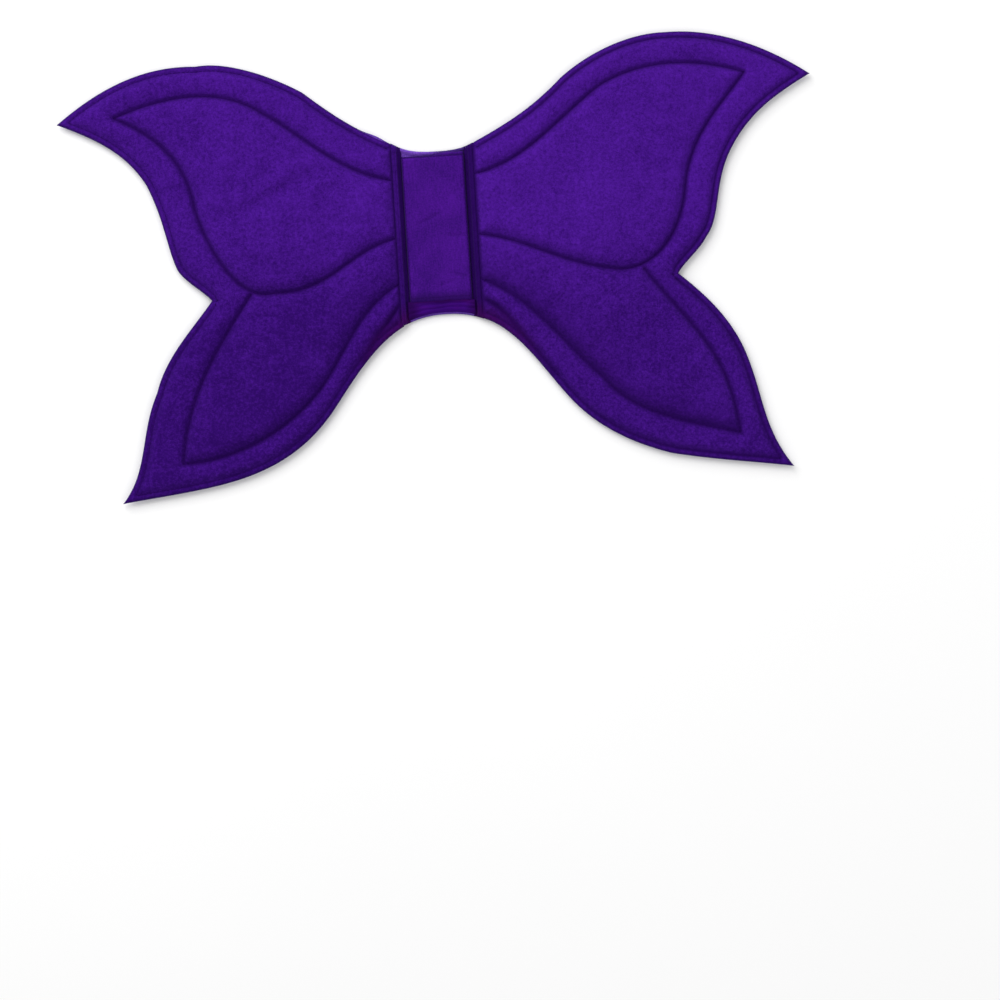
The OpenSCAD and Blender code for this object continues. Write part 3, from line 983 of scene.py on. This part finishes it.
# --------------------------------------------------
# Back panel. Smooth lining cloth that lies against the wearer's back. It is cut a little
# larger than the front panel, so its pale edge shows above it and below the hem.
LINING_STEP = 0.9 * MM
LINING_SPAN = (PANEL_LOW.x - 0.2 * MM, PANEL_HIGH.x + 0.2 * MM)
LINING_ROLL = 2.6 * MM


def lining_height(x, y):
    """Flat on the back, with its two ends rolled up to the front"""
    ends = min(neck_y(x, "top") - y, y - neck_y(x, "bottom")) / LINING_ROLL
    rise = math.sqrt(max(0, 1 - (2 * min(1, max(0, ends)) - 1) ** 2))
    wave = 0.1 * MM * noise.noise(Vector((x / (9 * MM), y / (9 * MM), 4)))
    return 0.95 * MM + wave + (1.5 * rise + 0.6 * min(1, max(0, 1.4 - ends))) * MM


bm = grid_sheet(LINING_SPAN, lambda x, end: neck_y(x, ("bottom", "top")[end]), LINING_STEP, lining_height)
back_panel = new_piece("back_panel_lining", bm, lining_material)
spots = spots_of(back_panel)
# painted shade: slight all over, more towards the bottom below the hem, and along the top right edge
top_right_shade = 0.8 * smooth_share(spots[:, 0], -6 * MM, 4 * MM) * smooth_share(spots[:, 1], 45 * MM, 49 * MM)
mark_points(back_panel, 0.05 + 0.35 * (1 - smooth_share(spots[:, 1], -40 * MM, 0)) + top_right_shade)
thicken(back_panel, LINING_THICK)
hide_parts("centre_back_panel")
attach(back_panel, "centre_band")

# --------------------------------------------------
# Panel stitching. The row of small dark stitches that holds the turned-in edges of the front
# panel, all the way round.
ROW_INSET = 1.1 * MM
ROW_PITCH = 2.2 * MM
ROW_THREAD = 0.2 * MM
ROW_STITCH = 1.8 * MM
bm = bmesh.new()
left, right = PANEL_LOW.x + ROW_INSET, PANEL_HIGH.x - ROW_INSET
low, high = PANEL_LOW.y + 3.2 * MM, PANEL_HIGH.y - ROW_INSET
panel_surface = surface_of(panel)
corners = [(left, low), (left, high), (right, high), (right, low), (left, low)]
for a, b in zip(corners[:-1], corners[1:]):
    sew(bm, even_points(np.array([a, b]), ROW_PITCH), panel_surface, True, ROW_THREAD, ROW_STITCH)
panel_rows = new_piece("panel_stitch_rows", bm, thread_material)
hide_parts("panel_stitching")
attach(panel_rows, "centre_band")

# --------------------------------------------------
# Shoulder straps. Flat ribbed elastic bent into a loop. Both ends lie on the back of a seam
# roll, where a bar tack holds each.
STRAP_WIDTH = 12 * MM
STRAP_THICK = 0.9 * MM
STRAP_Z = 0.2 * MM
STRAP_IN = 5.2 * MM
LEG_STEPS = 40
BEND_STEPS = 48
elastic = Finish("ribbed_elastic", Roughness=0.75, Specular_IOR_Level=0.25, Sheen_Weight=0.2)
lay = elastic.node("ShaderNodeUVMap", {"uv_map": "lay"})
rib = elastic.bands("Y", {"Vector": lay, "Scale": 260, "Distortion": 0.3})
pick = elastic.bands("X", {"Vector": lay, "Scale": 330, "Distortion": 0.5})
tone_shift = elastic.noise(elastic.place(), 90, 3.0)
elastic_material = elastic.join(
    elastic.between(rib * 0.5 + pick * 0.2 + tone_shift * 0.5 - 0.1, (0.018, 0.003, 0.075), (0.06, 0.012, 0.21)),
    rib + pick * 0.35, 0.00035)


def strap_run(x, y, leg_end, radius):
    """Distance along the loop and across the strap, for the ribs"""
    if x <= leg_end:
        run = x if y > 0 else leg_end * 2 + math.pi * radius - x
        return run, abs(y) - radius
    bend = math.atan2(x - leg_end, y)
    return leg_end + bend * radius, math.hypot(x - leg_end, y) - radius


def grow_leg(bm, ring, step):
    """Extrude the strap's end ring along a leg, and give back its new end"""
    for _ in range(LEG_STEPS):
        grown = bmesh.ops.extrude_edge_only(bm, edges=ring)["geom"]
        bmesh.ops.translate(bm, verts=only(grown, bmesh.types.BMVert), vec=step)
        ring = only(grown, bmesh.types.BMEdge)
    return ring


for side, sign in SIDES.items():
    hinge = SEAM_X[side]
    low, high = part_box(side + "_strap")
    radius = (high.y - low.y - STRAP_WIDTH) / 2
    leg_end = max(abs(low.x), abs(high.x)) - radius - STRAP_WIDTH / 2
    bm = bmesh.new()
    bmesh.ops.create_grid(bm, x_segments=10, y_segments=1, size=0.5)
    for vert in bm.verts:
        across, up = vert.co.x * 2, vert.co.y * 2
        thin = math.sqrt(1 - 0.75 * across ** 6)
        vert.co = (hinge - STRAP_IN, radius + across * STRAP_WIDTH / 2,
                   STRAP_Z + STRAP_THICK / 2 * (1 + up * thin))
    reach = leg_end - hinge + STRAP_IN
    step = Vector((reach / LEG_STEPS, 0, 0))
    ring = grow_leg(bm, [e for e in bm.edges if e.is_boundary], step)
    turned_round = bmesh.ops.spin(bm, geom=ring, cent=(leg_end, 0, 0), axis=(0, 0, -1), angle=math.pi,
                                  steps=BEND_STEPS)["geom_last"]
    ring = grow_leg(bm, only(turned_round, bmesh.types.BMEdge), -step)
    bmesh.ops.edgeloop_fill(bm, edges=ring)
    bmesh.ops.remove_doubles(bm, verts=bm.verts, dist=0.00001)
    laid = bm.loops.layers.uv.new("lay")
    for face in bm.faces:
        for loop in face.loops:
            loop[laid].uv = strap_run(loop.vert.co.x, loop.vert.co.y, leg_end, radius)
    bmesh.ops.scale(bm, verts=bm.verts, vec=(sign, 1, 1))
    for vert in bm.verts:
        vert.co.z += 0.12 * MM * (1 + noise.noise(Vector((vert.co.x / (25 * MM), vert.co.y / (25 * MM), 8))))
    bmesh.ops.recalc_face_normals(bm, faces=bm.faces)
    strap = new_piece(side + "_elastic_strap", bm, elastic_material)
    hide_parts(side + "_strap")
    2 * reach + math.pi * radius
    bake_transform(strap)

# --------------------------------------------------
# Bar tacks. Short close stitches that fix each end of a strap to the back of the seam roll.
TACK_ROWS = 13
TACK_PITCH = 0.8 * MM
TACK_IN = 6 * MM
TACK_Z = 0.32 * MM
TACK_THREAD = 0.28 * MM
TACK_LEAN = 0.28
for side in SIDES:
    low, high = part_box(side + "_strap_tacks")
    bm = bmesh.new()
    for end in (-1, 1):
        centre_y = end * (high.y - TACK_IN)
        for k in range(TACK_ROWS):
            along = Vector((1, TACK_LEAN if k % 2 else -TACK_LEAN, 0)).normalized()
            up = (k - (TACK_ROWS - 1) / 2) * TACK_PITCH
            spot = Vector(((low.x + high.x) / 2, centre_y + up, TACK_Z))
            lay_stitch(bm, spot, along, Vector((0, 0, -1)), TACK_THREAD, high.x - low.x)
    tack = new_piece(side + "_bar_tacks", bm, thread_material)
    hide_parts(side + "_strap_tacks")
    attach(tack, "centre_band")
